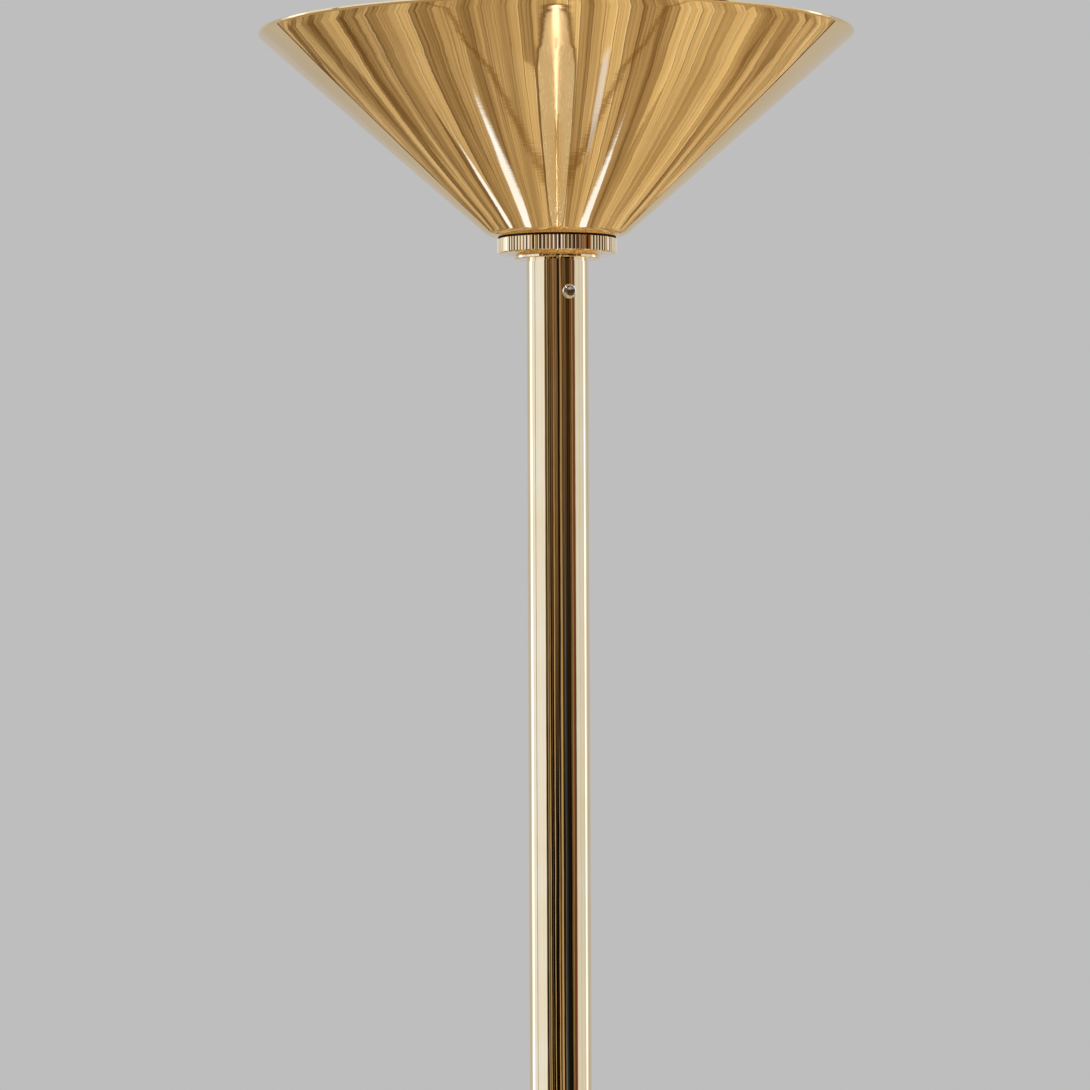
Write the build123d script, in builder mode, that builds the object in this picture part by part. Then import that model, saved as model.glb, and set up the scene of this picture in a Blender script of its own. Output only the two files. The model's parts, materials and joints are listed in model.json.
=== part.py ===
"""Torchiere floor lamp: conical brass uplighter on a slim brass pole with a round weighted base.

Millimetres, +Z up. The origin is the centre of the base's underside, on the floor. The lamp's
front is -Y: the foot switch is there, and the cord inlet is at the back, +Y.
"""

from build123d import *
from math import atan, cos, radians, sin, tan
import os

os.makedirs("parts", exist_ok=True)

# ---------------------------------------------------------------- driving dimensions
TOTAL_HEIGHT = 1750.0

# Pole: drawn brass tube in two lengths
POLE_R = 12.5
POLE_WALL = 1.5
POLE_BORE_R = POLE_R - POLE_WALL
POLE_SEAM_Z = 850.0
PLUG_R = POLE_BORE_R - 0.05
PLUG_LENGTH = 24.0

# Shade: spun brass cone
SHADE_R = 120.3
SHADE_FOOT_R = 27.0
SHADE_FLARE = 1.150  # radius gained per millimetre of height
SEAT_R = 100.0  # the wall turns up very slightly where the glass rests
RIM_FLARE = 1.127
SHADE_SHEET = 1.0
SHADE_CORNER_R = 8.0
LIP_R = 1.5
LIP_RISE = 1.12  # from the cone's corner up to the rim's top

# Head and foot stacks share the same ring, gasket and cap
RING_R = 24.08
RING_H = 6.35
FLUTES = 96
FLUTE_DEPTH = 0.26
FLUTE_HALF_W = 0.45
GASKET_R = 23.8
GASKET_H = 0.4
CAP_R = 17.2
CAP_H = 1.45
CAP_COLLAR_R = 20.5
CAP_COLLAR_H = 0.75  # shallow cone between the ring and the cap's disc
NECK_R = 12.2
NECK_H = 1.0
STACK_H = NECK_H + CAP_H + CAP_COLLAR_H + RING_H + GASKET_H

# M10 x 1 threaded tube and its nuts
NIPPLE_R = 4.97
NIPPLE_BORE_R = 3.4
THREAD_R = 5.0
CLEAR_R = 5.25
NUT_H = 4.0
NUT_FLATS = 14.0
WASHER_T = 1.5

# Set screws (M6, hexagon socket)
SCREW_R = 3.0
SCREW_HOLE_R = 3.05
SCREW_HEX = 3.0
SCREW_DROP = 12.6  # below the pole's end
SCREW_PROUD = 1.5
SCREW_TURN = 22.0  # degrees round from the front, towards +X
GROOVE_DEPTH = 1.5
GROOVE_H = 8.0

# Linear halogen lamp, 78 mm, and its ceramic holders
LAMP_LENGTH = 78.0
LAMP_RISE = 45.0  # lamp's axis above the shade's floor
LAMP_R = 5.0
QUARTZ_WALL = 1.0
BASE_PLUG_R = 3.6
HOLDER_GAP = 64.0  # between the two holders' faces
HOLDER_T = 17.0
HOLDER_W = 16.0
HOLDER_H = 18.0
CONTACT_R = 1.7

# Safety glass
GLASS_R = 98.0
GLASS_T = 3.0
GLASS_GAP = 0.3

# Base
BASE_R = 148.0
BASE_TOP = 24.0
HUB_RISE = 2.0
HUB_R = 26.0
COVER_SHEET = 1.2
COVER_CORNER_R = 6.0
COVER_FOOT = 1.5
FELT_T = 2.0
PLATE_T = 1.5
PLATE_R = 144.5
WEIGHT_R = 145.5
WEIGHT_TOP = 21.0
BOSS_R = 40.0
CAVITY_R = 58.0
CAVITY_ROOF = 16.5
CHANNEL_W = 16.0
PLATE_SCREW_PCD = 236.0

# Foot switch
SWITCH_Y = -106.0
SWITCH_R = 15.0
POCKET_R = 17.5
COLLAR_R = 6.0
BUTTON_R = 9.0
STEM_R = 3.0
BUTTON_TRAVEL = 4.0

# Cord inlet
INLET_Z = 10.2
INLET_BORE_R = 3.4
INLET_R = 5.2

# ---------------------------------------------------------------- levels worked out from them
RIM_CORNER_Z = TOTAL_HEIGHT - LIP_RISE
SEAT_Z = RIM_CORNER_Z - (SHADE_R - SEAT_R) / RIM_FLARE
SHADE_Z = SEAT_Z - (SEAT_R - SHADE_FOOT_R) / SHADE_FLARE
RING_Z = SHADE_Z - GASKET_H - RING_H
POLE_TOP = SHADE_Z - STACK_H
HUB_TOP = BASE_TOP + HUB_RISE
POLE_FOOT = HUB_TOP + STACK_H
CONE_SLOPE = atan(1 / SHADE_FLARE)  # the cone's wall, measured from level
RIM_SLOPE = atan(1 / RIM_FLARE)
SHADE_FLOOR = SHADE_Z + SHADE_SHEET
LAMP_Z = SHADE_FLOOR + LAMP_RISE
BRACKET_Z = SHADE_FLOOR + WASHER_T
BRACKET_T = 1.5
BRACKET_W = 14.0
PLATE_TOP = FELT_T + PLATE_T
COVER_INNER_R = BASE_R - COVER_SHEET
HOLDER_FACE = HOLDER_GAP / 2
HOLDER_BACK = HOLDER_FACE + HOLDER_T
UPWARDS = (Align.CENTER, Align.CENTER, Align.MIN)


def finish(builder, name):
    """Label one finished piece and write it."""
    builder.part.label = name
    export_step(builder.part, f"parts/{name}.step")


# ---------------------------------------------------------------- shade
SHEET_RISE = SHADE_SHEET / cos(CONE_SLOPE)
INNER_CORNER_R = SHADE_FOOT_R - SHADE_SHEET * tan(CONE_SLOPE / 2)
LIP_INNER_R = SHADE_R - SHADE_SHEET
LIP_INNER_Z = RIM_CORNER_Z + SHADE_SHEET / cos(RIM_SLOPE) - SHADE_SHEET / RIM_FLARE

with BuildPart() as shade:
    with BuildSketch(Plane.XZ):
        with BuildLine():
            FilletPolyline(
                (CLEAR_R, SHADE_Z),
                (SHADE_FOOT_R, SHADE_Z),
                (SEAT_R, SEAT_Z),
                (SHADE_R, RIM_CORNER_Z),
                (SHADE_R, TOTAL_HEIGHT),
                (LIP_INNER_R, TOTAL_HEIGHT),
                (LIP_INNER_R, LIP_INNER_Z),
                (SEAT_R, SEAT_Z + SHEET_RISE),
                (INNER_CORNER_R, SHADE_FLOOR),
                (CLEAR_R, SHADE_FLOOR),
                radius=[0, SHADE_CORNER_R, 0, LIP_R, 0.35, 0.35, 0.3, 0, SHADE_CORNER_R - SHADE_SHEET, 0],
                close=True,
            )
        make_face()
    revolve(axis=Axis.Z)
finish(shade, "shade")


# ---------------------------------------------------------------- rings, gaskets and caps
def make_gasket(z):
    """Thin black washer that keeps the brass sheet off the ring."""
    with BuildPart() as gasket:
        with BuildSketch(Plane.XY.offset(z)):
            Circle(GASKET_R)
            Circle(CLEAR_R, mode=Mode.SUBTRACT)
        extrude(amount=GASKET_H)
    return gasket


def make_fluted_ring(z):
    """Brass ring with straight flutes and a small plain chamfer at both edges."""
    edge = 0.45
    with BuildPart() as ring:
        with BuildSketch(Plane.XY.offset(z)):
            Circle(RING_R)
            Circle(CLEAR_R, mode=Mode.SUBTRACT)
        extrude(amount=RING_H)
        chamfer(ring.edges().filter_by(GeomType.CIRCLE).sort_by(Edge.length)[-2:], edge)
        with BuildSketch(Plane.XY.offset(z)):
            with PolarLocations(RING_R, FLUTES):
                Polygon(
                    (-FLUTE_DEPTH, 0),
                    (0, -FLUTE_HALF_W),
                    (FLUTE_DEPTH, 0),
                    (0, FLUTE_HALF_W),
                    align=None,
                )
        extrude(amount=RING_H, mode=Mode.SUBTRACT)
    return ring


def make_cap(z, plug_down, grooved):
    """Collar, disc, short neck and a plug that fills the pole's end. z is the collar's outer face."""
    way = -1 if plug_down else 1
    disc_z = z + way * CAP_COLLAR_H
    neck_z = disc_z + way * CAP_H
    plug_z = neck_z + way * NECK_H
    with BuildPart() as cap:
        with BuildSketch(Plane.XY.offset(disc_z)):
            Circle(CAP_R)
        extrude(amount=way * CAP_H)
        chamfer(cap.edges().filter_by(GeomType.CIRCLE), 0.3)
        with BuildSketch(Plane.XY.offset(z)):
            Circle(CAP_COLLAR_R)
        with BuildSketch(Plane.XY.offset(disc_z)):
            Circle(CAP_R - 0.3)
        loft()
        with BuildSketch(Plane.XY.offset(neck_z)):
            Circle(NECK_R)
        extrude(amount=way * NECK_H)
        with BuildSketch(Plane.XY.offset(plug_z)):
            Circle(PLUG_R)
        extrude(amount=way * PLUG_LENGTH)
        screw_z = plug_z + way * SCREW_DROP
        if grooved:
            with BuildSketch(Plane.XY.offset(screw_z - GROOVE_H / 2)):
                Circle(PLUG_R + 1)
                Circle(PLUG_R - GROOVE_DEPTH, mode=Mode.SUBTRACT)
            extrude(amount=GROOVE_H, mode=Mode.SUBTRACT)
        with BuildSketch(Plane.XY.offset(z)):
            Circle(THREAD_R)
        extrude(amount=way * (CAP_COLLAR_H + CAP_H + NECK_H + PLUG_LENGTH), mode=Mode.SUBTRACT)
    return cap


finish(make_gasket(SHADE_Z - GASKET_H), "shade_gasket")
finish(make_fluted_ring(RING_Z), "fluted_ring")
finish(make_cap(RING_Z, plug_down=True, grooved=True), "pole_top_cap")
finish(make_gasket(HUB_TOP), "base_gasket")
finish(make_fluted_ring(HUB_TOP + GASKET_H), "base_ring")
finish(make_cap(POLE_FOOT - NECK_H - CAP_H - CAP_COLLAR_H, plug_down=False, grooved=False), "pole_bottom_cap")


# ---------------------------------------------------------------- threaded tubes, nuts, washers
def make_nipple(low, high):
    """Hollow M10 threaded tube, drawn at its thread's outer size."""
    with BuildPart() as nipple:
        with BuildSketch(Plane.XY.offset(low)):
            Circle(NIPPLE_R)
            Circle(NIPPLE_BORE_R, mode=Mode.SUBTRACT)
        extrude(amount=high - low)
        chamfer(nipple.edges().filter_by(GeomType.CIRCLE).sort_by(Edge.length)[-2:], 0.5)
    return nipple


def make_nut(low):
    """Hexagon nut with its corners turned off."""
    with BuildPart() as nut:
        with BuildSketch(Plane.XY.offset(low)):
            RegularPolygon(NUT_FLATS / 2, 6, major_radius=False)
            Circle(THREAD_R, mode=Mode.SUBTRACT)
        extrude(amount=NUT_H)
        with BuildSketch(Plane.XY.offset(low)):
            Circle(NUT_FLATS / 2 + 1.8)
        extrude(amount=NUT_H, taper=18, mode=Mode.INTERSECT)
    return nut


def make_washer(low, outer):
    """Plain steel washer."""
    with BuildPart() as washer:
        with BuildSketch(Plane.XY.offset(low)):
            Circle(outer)
            Circle(CLEAR_R, mode=Mode.SUBTRACT)
        extrude(amount=WASHER_T)
    return washer


HEAD_NUT_Z = BRACKET_Z + BRACKET_T
HEAD_NIPPLE_LOW = POLE_TOP - PLUG_LENGTH + 2
HEAD_NIPPLE_TOP = HEAD_NUT_Z + NUT_H + 3
TAG_T = 0.8
BASE_WASHER_Z = CAVITY_ROOF - WASHER_T
BASE_TAG_Z = BASE_WASHER_Z - TAG_T
BASE_NUT_Z = BASE_TAG_Z - NUT_H
BASE_NIPPLE_LOW = BASE_NUT_Z - 0.6
finish(make_nipple(HEAD_NIPPLE_LOW, HEAD_NIPPLE_TOP), "head_nipple")
finish(make_washer(SHADE_FLOOR, 11.0), "inner_washer")
finish(make_nut(HEAD_NUT_Z), "head_nut")
finish(make_nipple(BASE_NIPPLE_LOW, POLE_FOOT + PLUG_LENGTH - 2), "base_nipple")
finish(make_washer(BASE_WASHER_Z, 16.0), "base_washer")
finish(make_nut(BASE_NUT_Z), "base_nut")


# ---------------------------------------------------------------- pole
def screw_axis(z, turn):
    """Plane whose normal points outwards from the pole at a height and an angle from the front."""
    outward = (sin(radians(turn)), -cos(radians(turn)), 0)
    return Plane(origin=(0, 0, z), x_dir=(outward[1], -outward[0], 0), z_dir=outward)


def make_pole(low, high, screws):
    """A length of tube with a tapped hole for each set screw."""
    with BuildPart() as pole:
        with BuildSketch(Plane.XY.offset(low)):
            Circle(POLE_R)
            Circle(POLE_BORE_R, mode=Mode.SUBTRACT)
        extrude(amount=high - low)
        for z, turn in screws:
            with BuildSketch(screw_axis(z, turn)):
                Circle(SCREW_HOLE_R)
            extrude(amount=POLE_R + 1, mode=Mode.SUBTRACT)
    return pole


def make_set_screw(z, turn, tip, outer):
    """Hexagon-socket set screw lying along its radial axis, from its tip to its outer end."""
    with BuildPart() as screw:
        with BuildSketch(screw_axis(z, turn).offset(tip)):
            Circle(SCREW_R)
        extrude(amount=outer - tip)
        chamfer(screw.edges().filter_by(GeomType.CIRCLE), 0.4)
        with BuildSketch(screw_axis(z, turn).offset(outer)):
            RegularPolygon(SCREW_HEX / 2, 6, major_radius=False)
        extrude(amount=-(outer - tip) * 0.6, mode=Mode.SUBTRACT)
    return screw


TOP_SCREW_Z = POLE_TOP - SCREW_DROP
FOOT_SCREW_Z = POLE_FOOT + SCREW_DROP
JOINER_LENGTH = 60.0
JOINER_SCREW_Z = POLE_SEAM_Z - JOINER_LENGTH / 4
BACK = 180.0

finish(make_pole(POLE_SEAM_Z, POLE_TOP, [(TOP_SCREW_Z, SCREW_TURN)]), "pole_upper")
finish(make_pole(POLE_FOOT, POLE_SEAM_Z, [(JOINER_SCREW_Z, BACK), (FOOT_SCREW_Z, BACK)]), "pole_lower")

with BuildPart() as pole_joiner:
    with BuildSketch(Plane.XY.offset(POLE_SEAM_Z - JOINER_LENGTH / 2)):
        Circle(PLUG_R)
        Circle(6.5, mode=Mode.SUBTRACT)
    extrude(amount=JOINER_LENGTH)
    chamfer(pole_joiner.edges().filter_by(GeomType.CIRCLE).sort_by(Edge.length)[-2:], 0.8)
finish(pole_joiner, "pole_joiner")

GROOVE_FLOOR_R = PLUG_R - GROOVE_DEPTH
finish(make_set_screw(TOP_SCREW_Z, SCREW_TURN, GROOVE_FLOOR_R + 0.1, POLE_R + SCREW_PROUD), "set_screw")
finish(make_set_screw(JOINER_SCREW_Z, BACK, PLUG_R + 0.02, POLE_R + 0.3), "joiner_screw")
finish(make_set_screw(FOOT_SCREW_Z, BACK, PLUG_R + 0.02, POLE_R + 0.3), "foot_screw")


# ---------------------------------------------------------------- lamp bracket and holders
ARM_FOOT = 20.0
ARM_TOP = LAMP_Z - HOLDER_H / 2
ARM_X = HOLDER_BACK
EAR_TOP = LAMP_Z + HOLDER_H / 2 - 2
SCREW_OFFSET = 5.0

with BuildPart() as lamp_bracket:
    with BuildSketch(Plane.XZ):
        with BuildLine():
            centre = FilletPolyline(
                (-ARM_X - BRACKET_T / 2, EAR_TOP),
                (-ARM_X - BRACKET_T / 2, ARM_TOP - 6),
                (-ARM_FOOT, BRACKET_Z + BRACKET_T / 2),
                (ARM_FOOT, BRACKET_Z + BRACKET_T / 2),
                (ARM_X + BRACKET_T / 2, ARM_TOP - 6),
                (ARM_X + BRACKET_T / 2, EAR_TOP),
                radius=3,
            )
        trace(centre.edges(), line_width=BRACKET_T)
    extrude(amount=BRACKET_W / 2, both=True)
    with Locations((0, 0, BRACKET_Z)):
        Cylinder(CLEAR_R, 4 * BRACKET_T, mode=Mode.SUBTRACT)
    with BuildSketch(Plane.YZ):
        with Locations((-SCREW_OFFSET, LAMP_Z), (SCREW_OFFSET, LAMP_Z)):
            Circle(1.6)
    extrude(amount=ARM_X + 10, both=True, mode=Mode.SUBTRACT)
    with Locations((-14, 0, BRACKET_Z)):
        Cylinder(2.05, 4 * BRACKET_T, mode=Mode.SUBTRACT)
finish(lamp_bracket, "lamp_bracket")


def make_lampholder(side):
    """Ceramic block with a tapered socket facing the lamp, and two tapped holes at its back."""
    face = Plane(origin=(side * HOLDER_FACE, 0, LAMP_Z), x_dir=(0, side, 0), z_dir=(side, 0, 0))
    with BuildPart() as holder:
        with BuildSketch(face):
            RectangleRounded(HOLDER_W, HOLDER_H, 3)
        extrude(amount=HOLDER_T)
        chamfer(holder.faces().sort_by(Axis.X)[0 if side > 0 else -1].edges(), 0.8)
        with BuildSketch(face):
            Circle(BASE_PLUG_R + 1.6)
        extrude(amount=7.0, taper=12, mode=Mode.SUBTRACT)
        with BuildSketch(face):
            Circle(CONTACT_R + 0.08)
        extrude(amount=HOLDER_T, mode=Mode.SUBTRACT)
        with BuildSketch(face.offset(HOLDER_T)):
            with Locations((-SCREW_OFFSET, 0), (SCREW_OFFSET, 0)):
                Circle(1.55)
        extrude(amount=-6.0, mode=Mode.SUBTRACT)
        with BuildSketch(Plane.XY.offset(LAMP_Z - HOLDER_H / 2)):
            with Locations((side * (HOLDER_BACK - 4), 0)):
                Circle(1.5)
        extrude(amount=HOLDER_H / 2, mode=Mode.SUBTRACT)
    return holder


finish(make_lampholder(-1), "lampholder_left")
finish(make_lampholder(1), "lampholder_right")

with BuildPart() as holder_screws:
    for side in (-1, 1):
        for y in (-SCREW_OFFSET, SCREW_OFFSET):
            head = Plane(origin=(side * (ARM_X + BRACKET_T), y, LAMP_Z), z_dir=(side, 0, 0))
            with BuildSketch(head):
                Circle(2.6)
            extrude(amount=1.8)
            with BuildSketch(head):
                Circle(1.5)
            extrude(amount=-BRACKET_T - 5)
            with BuildSketch(head.offset(1.8)):
                Rectangle(6, 0.7)
            extrude(amount=-0.9, mode=Mode.SUBTRACT)
finish(holder_screws, "holder_screws")

# ---------------------------------------------------------------- contacts
CONTACT_FACE = LAMP_LENGTH / 2 - 1.8  # the lamp's contacts lie this far from its middle

with BuildPart() as fixed_contact:
    with BuildSketch(Plane.YZ.offset(-CONTACT_FACE)):
        with Locations((0, LAMP_Z)):
            Circle(CONTACT_R)
    extrude(amount=-(HOLDER_BACK - CONTACT_FACE - 1))
    fillet(fixed_contact.edges().sort_by(Axis.X)[-1], 0.8)
finish(fixed_contact, "fixed_contact")

SPRING_FOOT = HOLDER_BACK - 1.0
PLUNGER_BACK = SPRING_FOOT - 3.6
with BuildPart() as contact_plunger:
    with BuildSketch(Plane.YZ.offset(CONTACT_FACE)):
        with Locations((0, LAMP_Z)):
            Circle(CONTACT_R)
    extrude(amount=PLUNGER_BACK - CONTACT_FACE)
    fillet(contact_plunger.edges().sort_by(Axis.X)[0], 0.8)
finish(contact_plunger, "contact_plunger")

with BuildPart() as contact_spring:
    with BuildSketch(Plane.YZ.offset(PLUNGER_BACK + 0.05)):
        with Locations((0, LAMP_Z)):
            Circle(1.7)
            Circle(1.1, mode=Mode.SUBTRACT)
    extrude(amount=SPRING_FOOT - PLUNGER_BACK - 0.05)
finish(contact_spring, "contact_spring")


# ---------------------------------------------------------------- halogen lamp
BULB_HALF = LAMP_LENGTH / 2 - 13.0
PINCH_END = LAMP_LENGTH / 2 - 8.0
SEAL_W = 6.0

with BuildPart() as bulb_envelope:
    with BuildSketch(Plane.XY.offset(LAMP_Z)):
        with BuildLine():
            FilletPolyline(
                (-BULB_HALF, 0),
                (-BULB_HALF + 4, LAMP_R),
                (BULB_HALF - 4, LAMP_R),
                (BULB_HALF, 0),
                radius=[0, 2.0, 2.0, 0],
                close=True,
            )
        make_face()
    revolve(axis=Axis((0, 0, LAMP_Z), (1, 0, 0)))
    for side in (-1, 1):
        with BuildSketch(Plane.YZ.offset(side * (BULB_HALF - 3))):
            with Locations((0, LAMP_Z)):
                Rectangle(SEAL_W, 2.6)
        extrude(amount=side * (PINCH_END - BULB_HALF + 3 + 4))
    with BuildSketch(Plane.XY.offset(LAMP_Z)):
        with BuildLine():
            FilletPolyline(
                (-BULB_HALF + 3.6, 0),
                (-BULB_HALF + 5.2, LAMP_R - QUARTZ_WALL),
                (BULB_HALF - 5.2, LAMP_R - QUARTZ_WALL),
                (BULB_HALF - 3.6, 0),
                radius=[0, 1.0, 1.0, 0],
                close=True,
            )
        make_face()
    revolve(axis=Axis((0, 0, LAMP_Z), (1, 0, 0)), mode=Mode.SUBTRACT)
    with BuildSketch(Plane.XY.offset(LAMP_Z + LAMP_R - 0.6)):
        Circle(1.2)
    extrude(amount=2.0, taper=20)
finish(bulb_envelope, "bulb_envelope")

with BuildPart() as bulb_filament:
    with BuildSketch(Plane.YZ.offset(-BULB_HALF + 6.5)):
        with Locations((0, LAMP_Z)):
            Circle(0.9)
    extrude(amount=2 * (BULB_HALF - 6.5))
finish(bulb_filament, "bulb_filament")


def make_bulb_base(side):
    """Ceramic end of the lamp: a slotted cylinder over the flat seal, with a recessed contact."""
    start = Plane(origin=(side * PINCH_END, 0, LAMP_Z), x_dir=(0, 1, 0), z_dir=(side, 0, 0))
    with BuildPart() as base:
        with BuildSketch(start):
            Circle(BASE_PLUG_R)
        extrude(amount=LAMP_LENGTH / 2 - PINCH_END)
        with BuildSketch(start):
            Rectangle(SEAL_W + 0.1, 2.7)
        extrude(amount=4.1, mode=Mode.SUBTRACT)
        with BuildSketch(start.offset(LAMP_LENGTH / 2 - PINCH_END)):
            Circle(2.1)
        extrude(amount=-1.8, mode=Mode.SUBTRACT)
    return base


finish(make_bulb_base(-1), "bulb_base_left")
finish(make_bulb_base(1), "bulb_base_right")

# ---------------------------------------------------------------- safety glass
GLASS_Z = SHADE_Z + (GLASS_R + GLASS_GAP - SHADE_FOOT_R) / SHADE_FLARE + SHEET_RISE
with BuildPart() as glass_cover:
    with BuildSketch(Plane.XY.offset(GLASS_Z)):
        Circle(GLASS_R)
    extrude(amount=GLASS_T)
    chamfer(glass_cover.edges().filter_by(GeomType.CIRCLE), 0.5)
finish(glass_cover, "glass_cover")


# ---------------------------------------------------------------- leads in the head
LEAD_R = 0.9
LEAD_SPREAD = 1.6
CABLE_TOP = HEAD_NIPPLE_LOW - 1
LEAD_MOUTH = HEAD_NIPPLE_TOP + 8


def make_lead(points, bend):
    """Round insulated lead along straight runs joined by tangent arcs."""
    with BuildPart() as lead:
        with BuildLine():
            path = FilletPolyline(*points, radius=bend)
        with BuildSketch(Plane(origin=path @ 0, z_dir=path % 0)):
            Circle(LEAD_R)
        sweep(path=path)
    return lead


for side, name in ((-1, "lead_neutral"), (1, "lead_live")):
    holder_x = side * (HOLDER_BACK - 4)
    route = [
        (side * LEAD_SPREAD, 0, CABLE_TOP + 0.2),
        (side * LEAD_SPREAD, 0, LEAD_MOUTH),
        (side * 18, 0, LEAD_MOUTH + 6),
        (side * 37, 0, LEAD_MOUTH + 8),
        (holder_x, 0, LEAD_MOUTH + 13),
        (holder_x, 0, LAMP_Z - 2),
    ]
    finish(make_lead(route, 3.0), name)

TAG_X = -14.0
earth_route = [
    (0, LEAD_SPREAD + 0.3, CABLE_TOP + 0.2),
    (0, LEAD_SPREAD + 0.3, LEAD_MOUTH),
    (-8, 12, LEAD_MOUTH + 1),
    (TAG_X, 15, HEAD_NUT_Z + 6),
    (TAG_X, 12, HEAD_NUT_Z + TAG_T + LEAD_R),
    (TAG_X, 6, HEAD_NUT_Z + TAG_T + LEAD_R),
]
finish(make_lead(earth_route, 2.0), "lead_earth")

# Earth tag on the lamp bracket, with its screw
with BuildPart() as head_earth_tag:
    with BuildSketch(Plane.XY.offset(HEAD_NUT_Z)):
        with Locations((TAG_X, 0)):
            Circle(4)
        with Locations((TAG_X, 5)):
            Rectangle(3, 8)
        with Locations((TAG_X, 0)):
            Circle(2.05, mode=Mode.SUBTRACT)
    extrude(amount=TAG_T)
finish(head_earth_tag, "head_earth_tag")

with BuildPart() as head_earth_screw:
    with BuildSketch(Plane.XY.offset(HEAD_NUT_Z + TAG_T)):
        with Locations((TAG_X, 0)):
            Circle(3.5)
    extrude(amount=2.4)
    with BuildSketch(Plane.XY.offset(HEAD_NUT_Z + TAG_T)):
        with Locations((TAG_X, 0)):
            Circle(2.0)
    extrude(amount=-(TAG_T + BRACKET_T + 1.0))
    with BuildSketch(Plane.XY.offset(HEAD_NUT_Z + TAG_T + 2.4)):
        with Locations((TAG_X, 0)):
            Rectangle(8, 0.9)
            Rectangle(0.9, 8)
    extrude(amount=-1.2, mode=Mode.SUBTRACT)
finish(head_earth_screw, "head_earth_screw")

# ---------------------------------------------------------------- cable inside the pole
CABLE_R = 3.2
CABLE_LOW = BASE_NIPPLE_LOW - 0.4
with BuildPart() as pole_cable:
    with BuildSketch(Plane.XY.offset(CABLE_LOW)):
        Circle(CABLE_R)
    extrude(amount=CABLE_TOP - CABLE_LOW)
finish(pole_cable, "pole_cable")

# ---------------------------------------------------------------- base
with BuildPart() as base_cover:
    with BuildSketch(Plane.XZ):
        with BuildLine():
            FilletPolyline(
                (CLEAR_R, HUB_TOP),
                (HUB_R, HUB_TOP),
                (HUB_R + 4, BASE_TOP),
                (BASE_R, BASE_TOP),
                (BASE_R, COVER_FOOT),
                (COVER_INNER_R, COVER_FOOT),
                (COVER_INNER_R, BASE_TOP - COVER_SHEET),
                (HUB_R + 4 - 0.4, BASE_TOP - COVER_SHEET),
                (HUB_R - 0.4, HUB_TOP - COVER_SHEET),
                (CLEAR_R, HUB_TOP - COVER_SHEET),
                radius=[0, 1.6, 1.6, COVER_CORNER_R, 0.5, 0, COVER_CORNER_R - COVER_SHEET, 0.5, 0.5, 0],
                close=True,
            )
        make_face()
    revolve(axis=Axis.Z)
    with Locations((0, SWITCH_Y, BASE_TOP)):
        Cylinder(COLLAR_R + 0.15, 6, mode=Mode.SUBTRACT)
    with BuildSketch(Plane.XZ.offset(-BASE_R - 5)):
        with Locations((0, INLET_Z)):
            Circle(INLET_R + 0.1)
    extrude(amount=12, mode=Mode.SUBTRACT)
finish(base_cover, "base_cover")

with BuildPart() as base_weight:
    with BuildSketch(Plane.XY.offset(PLATE_TOP)):
        Circle(WEIGHT_R)
    extrude(amount=WEIGHT_TOP - PLATE_TOP)
    chamfer(base_weight.edges().filter_by(GeomType.CIRCLE).sort_by(Axis.Z)[-1], 4)
    with BuildSketch(Plane.XY.offset(WEIGHT_TOP)):
        Circle(BOSS_R)
        Circle(HUB_R + 4, mode=Mode.SUBTRACT)
    extrude(amount=BASE_TOP - COVER_SHEET - WEIGHT_TOP)
    with BuildSketch(Plane.XY.offset(WEIGHT_TOP)):
        Circle(HUB_R - 2)
    extrude(amount=HUB_TOP - COVER_SHEET - WEIGHT_TOP)
    with BuildSketch(Plane.XY.offset(PLATE_TOP)):
        Circle(CAVITY_R)
    extrude(amount=CAVITY_ROOF - PLATE_TOP, mode=Mode.SUBTRACT)
    with BuildSketch(Plane.XY.offset(PLATE_TOP)):
        with Locations((0, WEIGHT_R / 2 + 10)):
            Rectangle(CHANNEL_W, WEIGHT_R)
        with Locations((0, SWITCH_Y / 2)):
            Rectangle(CHANNEL_W, abs(SWITCH_Y))
    extrude(amount=CAVITY_ROOF - PLATE_TOP, mode=Mode.SUBTRACT)
    with Locations((0, SWITCH_Y, 0)):
        Cylinder(POCKET_R, 3 * BASE_TOP, mode=Mode.SUBTRACT)
    Cylinder(CLEAR_R, 4 * HUB_TOP, mode=Mode.SUBTRACT)
    with PolarLocations(PLATE_SCREW_PCD / 2, 4, start_angle=45):
        Cylinder(1.65, 2 * (PLATE_TOP + 10), mode=Mode.SUBTRACT)
finish(base_weight, "base_weight")

with BuildPart() as base_plate:
    with BuildSketch(Plane.XY.offset(FELT_T)):
        Circle(PLATE_R)
    extrude(amount=PLATE_T)
    with Locations(Plane.XY.offset(FELT_T)):
        with PolarLocations(PLATE_SCREW_PCD / 2, 4, start_angle=45):
            Cone(3.6, 2.1, PLATE_T, align=UPWARDS, mode=Mode.SUBTRACT)
finish(base_plate, "base_plate")

with BuildPart() as plate_screws:
    with Locations(Plane.XY.offset(FELT_T)):
        with PolarLocations(PLATE_SCREW_PCD / 2, 4, start_angle=45):
            Cone(3.5, 2.0, PLATE_T, align=UPWARDS)
            with Locations((0, 0, PLATE_T)):
                Cylinder(1.6, 8, align=UPWARDS)
finish(plate_screws, "plate_screws")

with BuildPart() as base_felt:
    with BuildSketch(Plane.XY):
        Circle(PLATE_R)
    extrude(amount=FELT_T)
finish(base_felt, "base_felt")

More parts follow.
